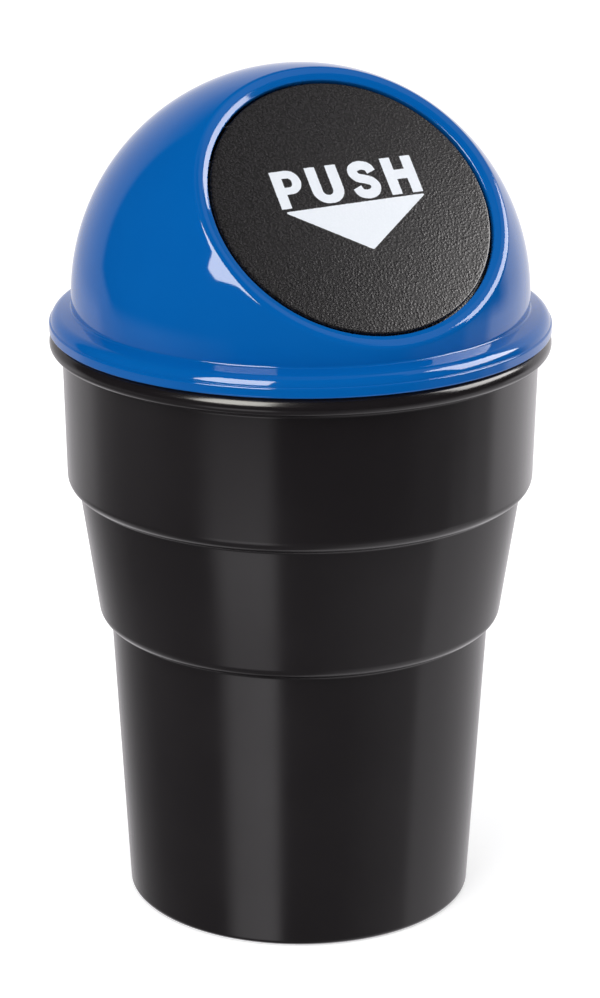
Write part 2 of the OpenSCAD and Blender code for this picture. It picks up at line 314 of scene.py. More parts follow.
def bezel_outline():
    """The bezel's section from its back at the opening to the dome, as (radius, height) about the face's axis."""
    back = [
        (OPENING_R + 1, FACE_D - LID_WALL, 0), (OPENING_R, FACE_D - LID_WALL, 0.25),
        (OPENING_R, FACE_D - 0.07, 0.35), (OPENING_R + 0.35, FACE_D + 0.02, 0),
    ]
    points = rounded(back, closed=False)[1:-1]

    # It rises from the opening and is nearly flat from the middle outwards
    rise = [
        (0.35, 0.02), (0.65, 0.13), (0.95, 0.235), (1.2, 0.29), (1.45, 0.315), (1.8, 0.326), (2.1, 0.322),
        (2.45, 0.3),
    ]
    points += smooth_path([(OPENING_R + along, FACE_D + up) for along, up in rise], steps=3)

    # A tight curve turns over into the dome, tangent to both
    near = points[-1]
    far_r = FACE_R + 0.2
    far_h = math.sqrt(DOME_R ** 2 - far_r ** 2)
    slope_a, slope_b = -0.07, -far_r / far_h
    meet_r = (far_h - near.y + slope_a * near.x - slope_b * far_r) / (slope_a - slope_b)
    meet = Vector((meet_r, near.y + slope_a * (meet_r - near.x)))
    far = Vector((far_r, far_h))
    steps = 12
    for k in range(1, steps + 1):
        t = k / steps
        points.append(near * (1 - t) ** 2 + meet * 2 * t * (1 - t) + far * t ** 2)
    return points


def make_lid_shell():
    """Dome, bezel, drum, brim and plug as one closed shell over rows that all turn about the face's axis."""
    place = face_place()
    centre = Vector((0, 0, DOME_Z))
    across, up, out = (place.col[k].to_3d() for k in range(3))
    steps = ROUND_STEPS
    turns = [2 * math.pi * (k + 0.5) / steps for k in range(steps)]
    spokes = [across * math.cos(t) + up * math.sin(t) for t in turns]
    rows = []

    bezel = bezel_outline()
    for radius, height in guarded(bezel, closed=False):
        rows.append([centre + s * radius + out * height for s in spokes])

    # From the bezel's edge the dome follows great circles down to the drum
    edge_r, edge_h = bezel[-1]
    edge_turn = math.atan2(edge_r, edge_h)
    dome_start = [(s * math.sin(edge_turn) + out * math.cos(edge_turn)) * DOME_R for s in spokes]
    drop = DRUM_TOP_Z - DOME_Z
    dome_end = []
    for spoke in spokes:
        # The lowest turn at which this spoke's great circle meets the drum's height
        a, b = out.z * DOME_R, spoke.z * DOME_R
        size, lag = math.hypot(a, b), math.atan2(b, a)
        turn = lag + math.acos(max(-1.0, min(1.0, drop / size)))
        dome_end.append((spoke * math.sin(turn) + out * math.cos(turn)) * DOME_R)
    dome_rows = 44
    for k in range(1, dome_rows + 1):
        t = k / dome_rows
        rows.append([centre + slerp(a, b, t) for a, b in zip(dome_start, dome_end)])

    # Drum, brim and plug turn about the upright axis at the places where the spokes met the drum
    headings = [Vector((p.x, p.y, 0)).normalized() for p in dome_end]
    section = [
        (DRUM_R, DRUM_TOP_Z, 0),
        (DRUM_R, BRIM_TOP_Z, 0.5),
        (BRIM_EDGE_R, BRIM_EDGE_Z, 2.4),
        (BRIM_STEP_R, BRIM_STEP_Z + 0.15, 0.1),
        (RIM_R, BRIM_STEP_Z, 0.4),
        (RIM_R, SEAT_Z, 0.4),
        (DRUM_R, SEAT_Z, 0.15),
        (PLUG_R, SEAT_Z - PLUG_H, LID_WALL / 3),
        (PLUG_R - LID_WALL, SEAT_Z - PLUG_H, LID_WALL / 3),
        (PLUG_R - LID_WALL, DOME_FOOT_Z, 0),
        (PLUG_END_R, PLUG_END_Z, 0),
    ]
    for radius, height in guarded(rounded(section, closed=False), closed=False)[1:-1]:
        rows.append([h * radius + Vector((0, 0, height)) for h in headings])

    # The inner dome, from the plug's upper end back up to the bezel's back
    back_r = math.sqrt(DOME_IN_R ** 2 - (FACE_D - LID_WALL) ** 2)
    plug_end = Vector((0, 0, PLUG_END_Z)) - centre
    inner_start = [(h * PLUG_END_R + plug_end).normalized() * DOME_IN_R for h in headings]
    inner_end = [s * back_r + out * (FACE_D - LID_WALL) for s in spokes]
    inner_rows = 30
    for k in range(inner_rows + 1):
        t = k / inner_rows
        rows.append([centre + slerp(a, b, t) for a, b in zip(inner_start, inner_end)])
    return mesh_object("lid_shell", *skin(rows))


def lug_outline():
    """A lug from the side, about the hinge line: a barrel open at the snap slot, on a block up to the bezel."""
    bore = PIN_R + PIN_SEAT_GAP
    half_slot = PIN_R - SNAP_GRIP / 2
    points = []
    slot_turn = math.asin(half_slot / BARREL_R)
    steps = 14
    # The barrel's outside, from the slot round to the block on the -y side
    for k in range(steps + 1):
        t = -math.pi / 2 - slot_turn - (math.pi / 2 - slot_turn) * k / steps
        points.append((BARREL_R * math.cos(t), BARREL_R * math.sin(t)))
    top = HINGE_DEPTH - LID_WALL / 2
    far_x = LUG_X + LUG_T
    sphere_r = DOME_R - LID_WALL / 2
    points.append((-BARREL_R, top))
    # The block's top ends where it would leave the dome's wall
    for k in range(9):
        y = -BARREL_R + 2 * BARREL_R * k / 8
        reach = sphere_r ** 2 - far_x ** 2 - (HINGE_UP + y) ** 2
        limit = math.sqrt(max(0.0, reach)) - FACE_D + HINGE_DEPTH
        if k > 0:
            points.append((y, min(top, limit)))
    for k in range(steps + 1):
        t = (math.pi / 2 - slot_turn) * k / steps
        points.append((BARREL_R * math.cos(t), -BARREL_R * math.sin(t)))
    # In through the slot, round the bore and out again
    gap_turn = math.asin(half_slot / bore)
    for k in range(25):
        t = -math.pi / 2 + gap_turn + (2 * math.pi - 2 * gap_turn) * k / 24
        points.append((bore * math.cos(t), bore * math.sin(t)))
    return points


def make_lid_fittings():
    """The two snap lugs for the pin and the seat of the spring's fixed leg, behind the bezel."""
    place = hinge_place()
    pieces = []
    outline = lug_outline()
    for side in (-1, 1):
        x0, x1 = sorted((side * LUG_X, side * (LUG_X + LUG_T)))
        pieces.append(eased(prism("lug", outline, x0, x1, place), 0.1))
    seat = [
        (SEAT_Y, -LEG_FRONT + LEG_GAP), (SEAT_Y + SEAT_L, -LEG_FRONT + LEG_GAP),
        (SEAT_Y + SEAT_L, -LID_WALL / 2), (SEAT_Y, -LID_WALL / 2),
    ]
    x0, x1 = -COIL_HALF - WIRE_D, -COIL_HALF + WIRE_D
    pieces.append(eased(prism("spring_seat", seat, x0, x1, face_place()), 0.15))
    return pieces


# Flap

def flap_crown(radius):
    """How far the flap's face stands out of the flat at a radius, in millimetres."""
    return FLAP_CROWN * max(0.0, 1 - (radius / FLAP_R) ** 2)


def make_flap():
    """The push flap: a disc with a rounded rim, its stop rim, and two barrels on webs behind it."""
    place = face_place()
    disc = [
        (0, -FLAP_BACK, 0),
        (FLAP_R, -FLAP_BACK, 0.1),
        (FLAP_R, -FLAP_RECESS, 0.4),
        (FLAP_R - 1, -FLAP_RECESS + flap_crown(FLAP_R - 1), 0),
    ]
    outline = guarded(rounded(disc, closed=False), closed=False)
    for k in range(1, 21):
        radius = (FLAP_R - 1) * (1 - k / 20)
        outline.append(Vector((radius, -FLAP_RECESS + flap_crown(radius))))
    pieces = [revolve("flap_disc", outline, place)]

    # The stop rim runs round below a level line, where both of its ends are cut
    section = rounded([
        (STOP_IN_R, -STOP_FRONT - STOP_T, 0.2),
        (STOP_R, -STOP_FRONT - STOP_T, 0.2),
        (STOP_R, -STOP_FRONT, 0.2),
        (STOP_IN_R, -STOP_FRONT, 0.2),
    ])
    steps = 160
    rows = []
    for k in range(steps + 1):
        row = []
        for radius, height in section:
            end = math.asin(STOP_TOP / radius)
            start = math.pi - end
            turn = start + (2 * math.pi - start + end) * k / steps
            row.append((radius * math.cos(turn), radius * math.sin(turn), height))
        rows.append(row)
    first, last = rows[0], rows[-1]
    rows.insert(0, [tuple(sum(p[i] for p in first) / len(first) for i in range(3))])
    rows.append([tuple(sum(p[i] for p in last) / len(last) for i in range(3))])
    pieces.append(mesh_object("stop_rim", *skin(rows, closed_rows=False), place))

    # Barrels and their webs, turned round the pin's bore
    hinge = hinge_place()
    bore = PIN_R + PIN_RUN_GAP
    top = HINGE_DEPTH - FLAP_BACK + FLAP_T / 2
    around = 72

    def ring(x, radius_at):
        turns = [2 * math.pi * k / around for k in range(around)]
        return [(x, radius_at(t) * math.cos(t), radius_at(t) * math.sin(t)) for t in turns]

    def web_radius(t):
        if math.sin(t) <= 0:
            return BARREL_R
        sideways = BARREL_R / max(1e-6, abs(math.cos(t)))
        return min(sideways, top / math.sin(t))

    def tube(name, x0, x1, outside):
        tube_rows = [
            ring(x0, outside), ring(x1, outside),
            ring(x1, lambda t: bore), ring(x0, lambda t: bore),
        ]
        return eased(mesh_object(name, *skin(tube_rows), hinge), 0.1)

    for side in (-1, 1):
        inner, outer = side * (WEB_X + WEB_W), side * (LUG_X - BARREL_GAP)
        pieces.append(tube("barrel", *sorted((inner, outer)), lambda t: BARREL_R))
        pieces.append(tube("web", *sorted((side * WEB_X, inner)), web_radius))
    y0 = HINGE_UP - LEG_L
    seat = [
        (y0, -LEG_FRONT + LEG_GAP), (y0 + SEAT_L, -LEG_FRONT + LEG_GAP),
        (y0 + SEAT_L, -FLAP_BACK + FLAP_T / 2), (y0, -FLAP_BACK + FLAP_T / 2),
    ]
    pieces.append(eased(prism("leg_pad", seat, COIL_HALF - WIRE_D, COIL_HALF + WIRE_D, place), 0.15))
    return joined("flap_body", pieces)


# Print on the flap

def stroke(path, half_width):
    """Outline of a bold stroke along a path."""
    left, right = [], []
    for i, p in enumerate(path):
        ahead = path[min(i + 1, len(path) - 1)]
        behind = path[max(i - 1, 0)]
        along = (ahead - behind).normalized()
        aside = Vector((-along.y, along.x)) * half_width
        left.append(p + aside)
        right.append(p - aside)
    return left + right[::-1]


def smooth_path(points, steps=10):
    """A smooth path through points."""
    pts = [Vector(p) for p in points]
    pts = [2 * pts[0] - pts[1]] + pts + [2 * pts[-1] - pts[-2]]
    path = []
    for i in range(1, len(pts) - 2):
        p0, p1, p2, p3 = pts[i - 1:i + 3]
        for k in range(steps):
            t = k / steps
            path.append(0.5 * (
                2 * p1 + (p2 - p0) * t
                + (2 * p0 - 5 * p1 + 4 * p2 - p3) * t ** 2
                + (3 * p1 - p0 - 3 * p2 + p3) * t ** 3
            ))
    path.append(pts[-2])
    return path


def print_outlines():
    """The word PUSH over a triangle that points down, in millimetres from the flap's middle."""
    foot, head = 1.53, 9.87
    p_outer = [
        (-14.1, foot, 0.1), (-11.95, foot, 0.1), (-11.95, 4.6, 0.1), (-8.2, 4.6, 2.6),
        (-8.2, head, 2.6), (-14.1, head, 0.15),
    ]
    p_hole = [(-11.95, 6.15, 0.1), (-10.1, 6.15, 0.9), (-10.1, 8.2, 0.9), (-11.95, 8.2, 0.1)]
    u_outer = [
        (-6.65, head, 0.1), (-6.65, foot, 3.1), (0.02, foot, 3.1), (0.02, head, 0.1),
        (-2.25, head, 0.1), (-2.25, 3.37, 1.08), (-4.45, 3.37, 1.08), (-4.45, head, 0.1),
    ]
    h_outer = [
        (9.55, foot, 0.1), (11.75, foot, 0.1), (11.75, 4.88, 0.05), (14.0, 4.88, 0.05),
        (14.0, foot, 0.1), (16.2, foot, 0.1), (16.2, head, 0.1), (14.0, head, 0.1),
        (14.0, 7.0, 0.05), (11.75, 7.0, 0.05), (11.75, head, 0.1), (9.55, head, 0.1),
    ]
    s_path = smooth_path([
        (6.93, 7.25), (6.44, 8.42), (4.97, 8.95), (3.4, 8.47), (3.01, 7.35), (3.7, 6.33),
        (5.02, 5.8), (6.34, 5.12), (6.83, 4.05), (6.24, 2.89), (4.87, 2.45), (3.4, 2.89), (2.86, 4.15),
    ])
    triangle = [(-13.9, 0.85, 0.25), (1.4, -9.6, 0.5), (16.5, 1.0, 0.2)]
    flat = [rounded(c) for c in (p_outer, p_hole, u_outer, h_outer, triangle)]
    return flat + [stroke(s_path, 1.0)]


def roughened(outline, step_mm=0.12, depth_mm=0.05):
    """An outline in short steps, pushed in and out a little as ink runs over a grained face."""
    points = []
    count = len(outline)
    for i in range(count):
        a, b = outline[i], outline[(i + 1) % count]
        pieces = max(1, round((b - a).length / step_mm))
        points.extend(a.lerp(b, k / pieces) for k in range(pieces))
    result = []
    for x, y in points:
        shift_x = noise.noise(Vector((x * 2.6, y * 2.6, 3.0)))
        shift_y = noise.noise(Vector((x * 2.6, y * 2.6, 9.0)))
        result.append((x + shift_x * depth_mm, y + shift_y * depth_mm))
    return result


PRINT_SHIFT = (-0.45, -0.45)
PRINT_TURN = math.radians(1.3)


def make_print():
    """The white print, a film that lies on the flap's face."""
    film_mm, lift_mm = 0.02, 0.005
    curve = bpy.data.curves.new("flap_print", "CURVE")
    curve.dimensions = "2D"
    curve.fill_mode = "BOTH"
    curve.extrude = film_mm / 2
    for outline in print_outlines():
        spline = curve.splines.new("POLY")
        points = roughened(outline)
        spline.points.add(len(points) - 1)
        for point, (x, y) in zip(spline.points, points):
            turned_x = x * math.cos(PRINT_TURN) - y * math.sin(PRINT_TURN)
            turned_y = x * math.sin(PRINT_TURN) + y * math.cos(PRINT_TURN)
            point.co = (turned_x + PRINT_SHIFT[0], turned_y + PRINT_SHIFT[1], 0, 1)
        spline.use_cyclic_u = True
    source = bpy.data.objects.new("flap_print_curve", curve)
    bpy.context.scene.collection.objects.link(source)
    depsgraph = bpy.context.evaluated_depsgraph_get()
    mesh = bpy.data.meshes.new_from_object(source.evaluated_get(depsgraph), depsgraph=depsgraph)
    bpy.data.objects.remove(source)
    work = bmesh.new()
    work.from_mesh(mesh)
    for k in range(-9, 10):
        for across in (Vector((1, 0, 0)), Vector((0, 1, 0))):
            everything = work.verts[:] + work.edges[:] + work.faces[:]
            bmesh.ops.bisect_plane(work, geom=everything, plane_co=across * 2.0 * k, plane_no=across)
    for vertex in work.verts:
        vertex.co.z += flap_crown(vertex.co.xy.length)
    work.to_mesh(mesh)
    work.free()
    raised = Matrix.Translation((0, 0, -FLAP_RECESS + film_mm / 2 + lift_mm))
    mesh.transform(Matrix.Scale(MM, 4) @ face_place() @ raised)
    mesh.name = "flap_print"
    piece = bpy.data.objects.new("flap_print", mesh)
    bpy.context.scene.collection.objects.link(piece)
    work = bmesh.new()
    work.from_mesh(mesh)
    bmesh.ops.remove_doubles(work, verts=work.verts, dist=1e-9)
    bmesh.ops.recalc_face_normals(work, faces=work.faces)
    work.to_mesh(mesh)
    work.free()
    return piece


# Return spring

def spring_tree(material):
    """Geometry Nodes that wind the return spring: a leg, the coil and a second leg, as one wire along x."""
    tree = bpy.data.node_groups.new("wound_spring", "GeometryNodeTree")
    tree.interface.new_socket("Geometry", in_out="OUTPUT", socket_type="NodeSocketGeometry")
    sizes = {
        "Turns": COIL_TURNS, "Pitch": COIL_PITCH, "Coil Radius": COIL_R, "Wire Radius": WIRE_D / 2,
        "Fixed Leg": FIXED_LEG_L, "Flap Leg": LEG_L,
    }
    for name, value in sizes.items():
        socket = tree.interface.new_socket(name, in_out="INPUT", socket_type="NodeSocketFloat")
        socket.default_value = value
    steps = tree.interface.new_socket("Steps per Turn", in_out="INPUT", socket_type="NodeSocketInt")
    steps.default_value = 24
    nodes, links = tree.nodes, tree.links
    given = nodes.new("NodeGroupInput")
    result = nodes.new("NodeGroupOutput")

    def link(source, target):
        links.new(source, target)

    def math_node(operation, a, b=None, c=None):
        node = nodes.new("ShaderNodeMath")
        node.operation = operation
        for socket, value in zip(node.inputs, (a, b, c)):
            if value is None:
                continue
            if isinstance(value, (int, float)):
                socket.default_value = value
            else:
                link(value, socket)
        return node.outputs[0]

    # One point for each step of the coil, and one more at each end for the legs
    coil_steps = math_node("MULTIPLY", given.outputs["Turns"], given.outputs["Steps per Turn"])
    line = nodes.new("GeometryNodeMeshLine")
    link(math_node("ADD", coil_steps, 3), line.inputs["Count"])
    index = nodes.new("GeometryNodeInputIndex").outputs[0]
    step = math_node("SUBTRACT", index, 1)
    held = math_node("MINIMUM", math_node("MAXIMUM", step, 0), coil_steps)
    turned = math_node("DIVIDE", held, given.outputs["Steps per Turn"])
    angle = math_node("MULTIPLY_ADD", turned, 2 * math.pi, math.pi / 2)
    half = math_node("MULTIPLY", math_node("MULTIPLY", given.outputs["Turns"], given.outputs["Pitch"]), 0.5)
    along = math_node("SUBTRACT", math_node("MULTIPLY", turned, given.outputs["Pitch"]), half)
    on_coil_y = math_node("MULTIPLY", given.outputs["Coil Radius"], math_node("COSINE", angle))
    on_coil_z = math_node("MULTIPLY", given.outputs["Coil Radius"], math_node("SINE", angle))
    is_fixed_end = math_node("LESS_THAN", step, 0)
    is_flap_end = math_node("GREATER_THAN", step, coil_steps)
    y = math_node("MULTIPLY_ADD", is_fixed_end, given.outputs["Fixed Leg"], on_coil_y)
    y = math_node("SUBTRACT", y, math_node("MULTIPLY", is_flap_end, given.outputs["Flap Leg"]))
    place = nodes.new("ShaderNodeCombineXYZ")
    link(along, place.inputs["X"])
    link(y, place.inputs["Y"])
    link(on_coil_z, place.inputs["Z"])
    move = nodes.new("GeometryNodeSetPosition")
    link(line.outputs["Mesh"], move.inputs["Geometry"])
    link(place.outputs[0], move.inputs["Position"])

    route = nodes.new("GeometryNodeMeshToCurve")
    link(move.outputs["Geometry"], route.inputs["Mesh"])
    section = nodes.new("GeometryNodeCurvePrimitiveCircle")
    section.inputs["Resolution"].default_value = 16
    link(given.outputs["Wire Radius"], section.inputs["Radius"])
    wire = nodes.new("GeometryNodeCurveToMesh")
    link(route.outputs["Curve"], wire.inputs["Curve"])
    link(section.outputs["Curve"], wire.inputs["Profile Curve"])
    wire.inputs["Fill Caps"].default_value = True
    real = nodes.new("GeometryNodeRealizeInstances")
    link(wire.outputs["Mesh"], real.inputs["Geometry"])
    paint = nodes.new("GeometryNodeSetMaterial")
    paint.inputs["Material"].default_value = material
    link(real.outputs["Geometry"], paint.inputs["Geometry"])
    link(paint.outputs["Geometry"], result.inputs["Geometry"])
    return tree


def make_spring(material):
    """The return spring, wound by its node tree and laid on the hinge line."""
    tree = spring_tree(material)
    piece = bpy.data.objects.new("spring_wire", bpy.data.meshes.new("spring_wire"))
    bpy.context.scene.collection.objects.link(piece)
    winding = piece.modifiers.new("winding", "NODES")
    winding.node_group = tree
    identifiers = {s.name: s.identifier for s in tree.interface.items_tree if s.in_out == "INPUT"}
    winding[identifiers["Turns"]] = float(COIL_TURNS)
    winding[identifiers["Pitch"]] = COIL_PITCH
    winding[identifiers["Steps per Turn"]] = 24
    baked(piece)
    piece.data.transform(Matrix.Scale(MM, 4) @ hinge_place())
    work = bmesh.new()
    work.from_mesh(piece.data)
    bmesh.ops.recalc_face_normals(work, faces=work.faces)
    work.to_mesh(piece.data)
    work.free()
    piece.data.shade_smooth()
    return crisp(piece)


# Shared surface effects

def node_group(name, inputs, outputs):
    """An empty shader group with its named sockets, its input and output nodes and a wiring helper."""
    group = bpy.data.node_groups.new(name, "ShaderNodeTree")
    for label, kind, value in inputs:
        socket = group.interface.new_socket(label, in_out="INPUT", socket_type=kind)
        if value is not None:
            socket.default_value = value
    for label, kind in outputs:
        group.interface.new_socket(label, in_out="OUTPUT", socket_type=kind)
    return group, group.nodes.new("NodeGroupInput"), group.nodes.new("NodeGroupOutput")


FLOAT, COLOUR, VECTOR = "NodeSocketFloat", "NodeSocketColor", "NodeSocketVector"


def moulded_skin_group():
    """Gloss of moulded plastic: soft patches of haze in the polish and a slow swell left by the mould."""
    group, given, result = node_group(
        "moulded_skin",
        [
            ("Vector", VECTOR, None), ("Polish", FLOAT, 0.1), ("Haze", FLOAT, 0.05),
            ("Patch Scale", FLOAT, 40.0), ("Swell Scale", FLOAT, 30.0), ("Swell Depth", FLOAT, 0.00001),
            ("Skin Scale", FLOAT, 900.0), ("Skin Depth", FLOAT, 0.0000005),
        ],
        [("Roughness", FLOAT), ("Normal", VECTOR), ("Mask", FLOAT)],
    )
    nodes, links = group.nodes, group.links
    patches = nodes.new("ShaderNodeTexNoise")
    patches.inputs["Detail"].default_value = 4.0
    links.new(given.outputs["Vector"], patches.inputs["Vector"])
    links.new(given.outputs["Patch Scale"], patches.inputs["Scale"])
    spread = nodes.new("ShaderNodeMapRange")
    spread.inputs["From Min"].default_value = 0.35
    spread.inputs["From Max"].default_value = 0.68
    links.new(patches.outputs["Fac"], spread.inputs["Value"])
    rough = nodes.new("ShaderNodeMath")
    rough.operation = "MULTIPLY_ADD"
    links.new(spread.outputs["Result"], rough.inputs[0])
    links.new(given.outputs["Haze"], rough.inputs[1])
    links.new(given.outputs["Polish"], rough.inputs[2])
    swell = nodes.new("ShaderNodeTexNoise")
    swell.inputs["Detail"].default_value = 1.0
    links.new(given.outputs["Vector"], swell.inputs["Vector"])
    links.new(given.outputs["Swell Scale"], swell.inputs["Scale"])
    slow = nodes.new("ShaderNodeBump")
    slow.inputs["Strength"].default_value = 1.0
    links.new(given.outputs["Swell Depth"], slow.inputs["Distance"])
    links.new(swell.outputs["Fac"], slow.inputs["Height"])
    skin_noise = nodes.new("ShaderNodeTexNoise")
    skin_noise.inputs["Detail"].default_value = 2.0
    links.new(given.outputs["Vector"], skin_noise.inputs["Vector"])
    links.new(given.outputs["Skin Scale"], skin_noise.inputs["Scale"])
    fine = nodes.new("ShaderNodeBump")
    fine.inputs["Strength"].default_value = 1.0
    links.new(given.outputs["Skin Depth"], fine.inputs["Distance"])
    links.new(skin_noise.outputs["Fac"], fine.inputs["Height"])
    links.new(slow.outputs["Normal"], fine.inputs["Normal"])
    links.new(rough.outputs[0], result.inputs["Roughness"])
    links.new(fine.outputs["Normal"], result.inputs["Normal"])
    links.new(spread.outputs["Result"], result.inputs["Mask"])
    return group


def pebble_grain_group():
    """Fine pebbled grain: small raised cells of uneven height with narrow valleys between them."""
    group, given, result = node_group(
        "pebble_grain",
        [("Vector", VECTOR, None), ("Scale", FLOAT, 2200.0), ("Depth", FLOAT, 0.00004)],
        [("Height", FLOAT), ("Valleys", FLOAT), ("Normal", VECTOR)],
    )
    nodes, links = group.nodes, group.links
    warp = nodes.new("ShaderNodeTexNoise")
    warp.inputs["Scale"].default_value = 1500.0
    warp.inputs["Detail"].default_value = 2.0
    links.new(given.outputs["Vector"], warp.inputs["Vector"])
    shift = nodes.new("ShaderNodeVectorMath")
    shift.operation = "MULTIPLY_ADD"
    shift.inputs[1].default_value = (0.0002, 0.0002, 0.0002)
    links.new(warp.outputs["Color"], shift.inputs[0])
    links.new(given.outputs["Vector"], shift.inputs[2])
    cells = nodes.new("ShaderNodeTexVoronoi")
    cells.feature = "SMOOTH_F1"
    cells.inputs["Smoothness"].default_value = 0.35
    links.new(shift.outputs[0], cells.inputs["Vector"])
    links.new(given.outputs["Scale"], cells.inputs["Scale"])
    domes = nodes.new("ShaderNodeMapRange")
    domes.interpolation_type = "SMOOTHSTEP"
    domes.inputs["From Min"].default_value = 0.75
    domes.inputs["From Max"].default_value = 0.1
    links.new(cells.outputs["Distance"], domes.inputs["Value"])
    uneven = nodes.new("ShaderNodeTexNoise")
    uneven.inputs["Scale"].default_value = 700.0
    uneven.inputs["Detail"].default_value = 3.0
    links.new(given.outputs["Vector"], uneven.inputs["Vector"])
    height = nodes.new("ShaderNodeMath")
    height.operation = "MULTIPLY"
    links.new(domes.outputs["Result"], height.inputs[0])
    links.new(uneven.outputs["Fac"], height.inputs[1])
    bump = nodes.new("ShaderNodeBump")
    bump.inputs["Strength"].default_value = 1.0
    links.new(given.outputs["Depth"], bump.inputs["Distance"])
    links.new(height.outputs[0], bump.inputs["Height"])
    valleys = nodes.new("ShaderNodeMath")
    valleys.operation = "SUBTRACT"
    valleys.inputs[0].default_value = 1.0
    links.new(domes.outputs["Result"], valleys.inputs[1])
    links.new(height.outputs[0], result.inputs["Height"])
    links.new(valleys.outputs[0], result.inputs["Valleys"])
    links.new(bump.outputs["Normal"], result.inputs["Normal"])
    return group


# Materials

def start_material(name):
    """A material with a Principled shader, and its nodes and links."""
    material = bpy.data.materials.new(name)
    material.use_nodes = True
    nodes, links = material.node_tree.nodes, material.node_tree.links
    nodes.clear()
    shader = nodes.new("ShaderNodeBsdfPrincipled")
    output = nodes.new("ShaderNodeOutputMaterial")
    links.new(shader.outputs["BSDF"], output.inputs["Surface"])
    coords = nodes.new("ShaderNodeTexCoord")
    return material, nodes, links, shader, coords


def placed_group(nodes, links, group, coords, **values):
    """A node group in a material, reading Object coordinates, with its own values."""
    node = nodes.new("ShaderNodeGroup")
    node.node_tree = group
    links.new(coords.outputs["Object"], node.inputs["Vector"])
    for label, value in values.items():
        node.inputs[label.replace("_", " ")].default_value = value
    return node


def two_tone(nodes, links, mask, first, second):
    """A colour that goes from the first to the second with a mask."""
    mix = nodes.new("ShaderNodeMix")
    mix.data_type = "RGBA"
    links.new(mask, mix.inputs["Factor"])
    mix.inputs["A"].default_value = (*first, 1)
    mix.inputs["B"].default_value = (*second, 1)
    return mix.outputs["Result"]


def black_polish(groups):
    """Polished black moulded plastic of the cup."""
    material, nodes, links, shader, coords = start_material("black_polish")
    skin_node = placed_group(
        nodes, links, groups["skin"], coords,
        Polish=0.16, Haze=0.05, Patch_Scale=55.0, Swell_Scale=28.0, Swell_Depth=0.00003,
        Skin_Scale=1400.0, Skin_Depth=0.0000004,
    )
    tones = (0.0098, 0.0082, 0.0092), (0.0112, 0.0094, 0.0105)
    colour = two_tone(nodes, links, skin_node.outputs["Mask"], *tones)
    links.new(colour, shader.inputs["Base Color"])
    links.new(skin_node.outputs["Roughness"], shader.inputs["Roughness"])
    links.new(skin_node.outputs["Normal"], shader.inputs["Normal"])
    shader.inputs["IOR"].default_value = 1.5
    return material


def blue_gloss(groups):
    """Glossy blue moulded plastic of the lid."""
    material, nodes, links, shader, coords = start_material("blue_gloss")
    skin_node = placed_group(
        nodes, links, groups["skin"], coords,
        Polish=0.035, Haze=0.025, Patch_Scale=45.0, Swell_Scale=24.0, Swell_Depth=0.00002,
        Skin_Scale=1200.0, Skin_Depth=0.0000003,
    )
    tones = (0.0012, 0.103, 0.385), (0.0012, 0.109, 0.400)
    colour = two_tone(nodes, links, skin_node.outputs["Mask"], *tones)
    links.new(colour, shader.inputs["Base Color"])
    links.new(skin_node.outputs["Roughness"], shader.inputs["Roughness"])
    links.new(skin_node.outputs["Normal"], shader.inputs["Normal"])
    shader.inputs["IOR"].default_value = 1.5
    return material


def black_grain(groups):
    """Matt black plastic with a fine pebbled grain, as on the flap, with painted shade in the grain's valleys."""
    material, nodes, links, shader, coords = start_material("black_grain")
    grain = placed_group(nodes, links, groups["grain"], coords, Scale=2000.0, Depth=0.000034)
    # The grain's valleys are painted much darker than the tops of its cells: painted shade in the valleys.
    tones = (0.0185, 0.0168, 0.0185), (0.0035, 0.0032, 0.0035)
    colour = two_tone(nodes, links, grain.outputs["Valleys"], *tones)
    links.new(colour, shader.inputs["Base Color"])
    rough = nodes.new("ShaderNodeMapRange")
    rough.inputs["To Min"].default_value = 0.2
    rough.inputs["To Max"].default_value = 0.29
    links.new(grain.outputs["Valleys"], rough.inputs["Value"])
    links.new(rough.outputs["Result"], shader.inputs["Roughness"])
    links.new(grain.outputs["Normal"], shader.inputs["Normal"])
    shader.inputs["IOR"].default_value = 1.5
    return material


def white_ink(groups):
    """White print on the grain, which shows faintly through it as small bumps and as painted shade in its valleys.
    """
    material, nodes, links, shader, coords = start_material("white_ink")
    grain = placed_group(nodes, links, groups["grain"], coords, Scale=2300.0, Depth=0.000012)
    # The ink is painted slightly darker in the grain's valleys, as painted shade.
    colour = two_tone(nodes, links, grain.outputs["Valleys"], (0.745, 0.78, 0.835), (0.725, 0.76, 0.815))
    links.new(colour, shader.inputs["Base Color"])
    rough = nodes.new("ShaderNodeMapRange")
    rough.inputs["To Min"].default_value = 0.38
    rough.inputs["To Max"].default_value = 0.5
    links.new(grain.outputs["Valleys"], rough.inputs["Value"])
    links.new(rough.outputs["Result"], shader.inputs["Roughness"])
    links.new(grain.outputs["Normal"], shader.inputs["Normal"])
    return material


def drawn_steel(name, tone, along_scale):
    """Drawn steel of the pin or the spring's wire, with fine lines along x."""
    material, nodes, links, shader, coords = start_material(name)
    stretch = nodes.new("ShaderNodeMapping")
    stretch.inputs["Scale"].default_value = (along_scale, 6000.0, 6000.0)
    links.new(coords.outputs["Object"], stretch.inputs["Vector"])
    lines = nodes.new("ShaderNodeTexNoise")
    lines.inputs["Scale"].default_value = 1.0
    lines.inputs["Detail"].default_value = 3.0
    links.new(stretch.outputs["Vector"], lines.inputs["Vector"])
    dark = tuple(0.72 * c for c in tone)
    links.new(two_tone(nodes, links, lines.outputs["Fac"], dark, tone), shader.inputs["Base Color"])
    rough = nodes.new("ShaderNodeMapRange")
    rough.inputs["To Min"].default_value = 0.22
    rough.inputs["To Max"].default_value = 0.4
    links.new(lines.outputs["Fac"], rough.inputs["Value"])
    links.new(rough.outputs["Result"], shader.inputs["Roughness"])
    shader.inputs["Metallic"].default_value = 1.0
    return material


def dress(piece, material):
    """Gives a piece one material all over."""
    piece.data.materials.clear()
    piece.data.materials.append(material)


# Studio

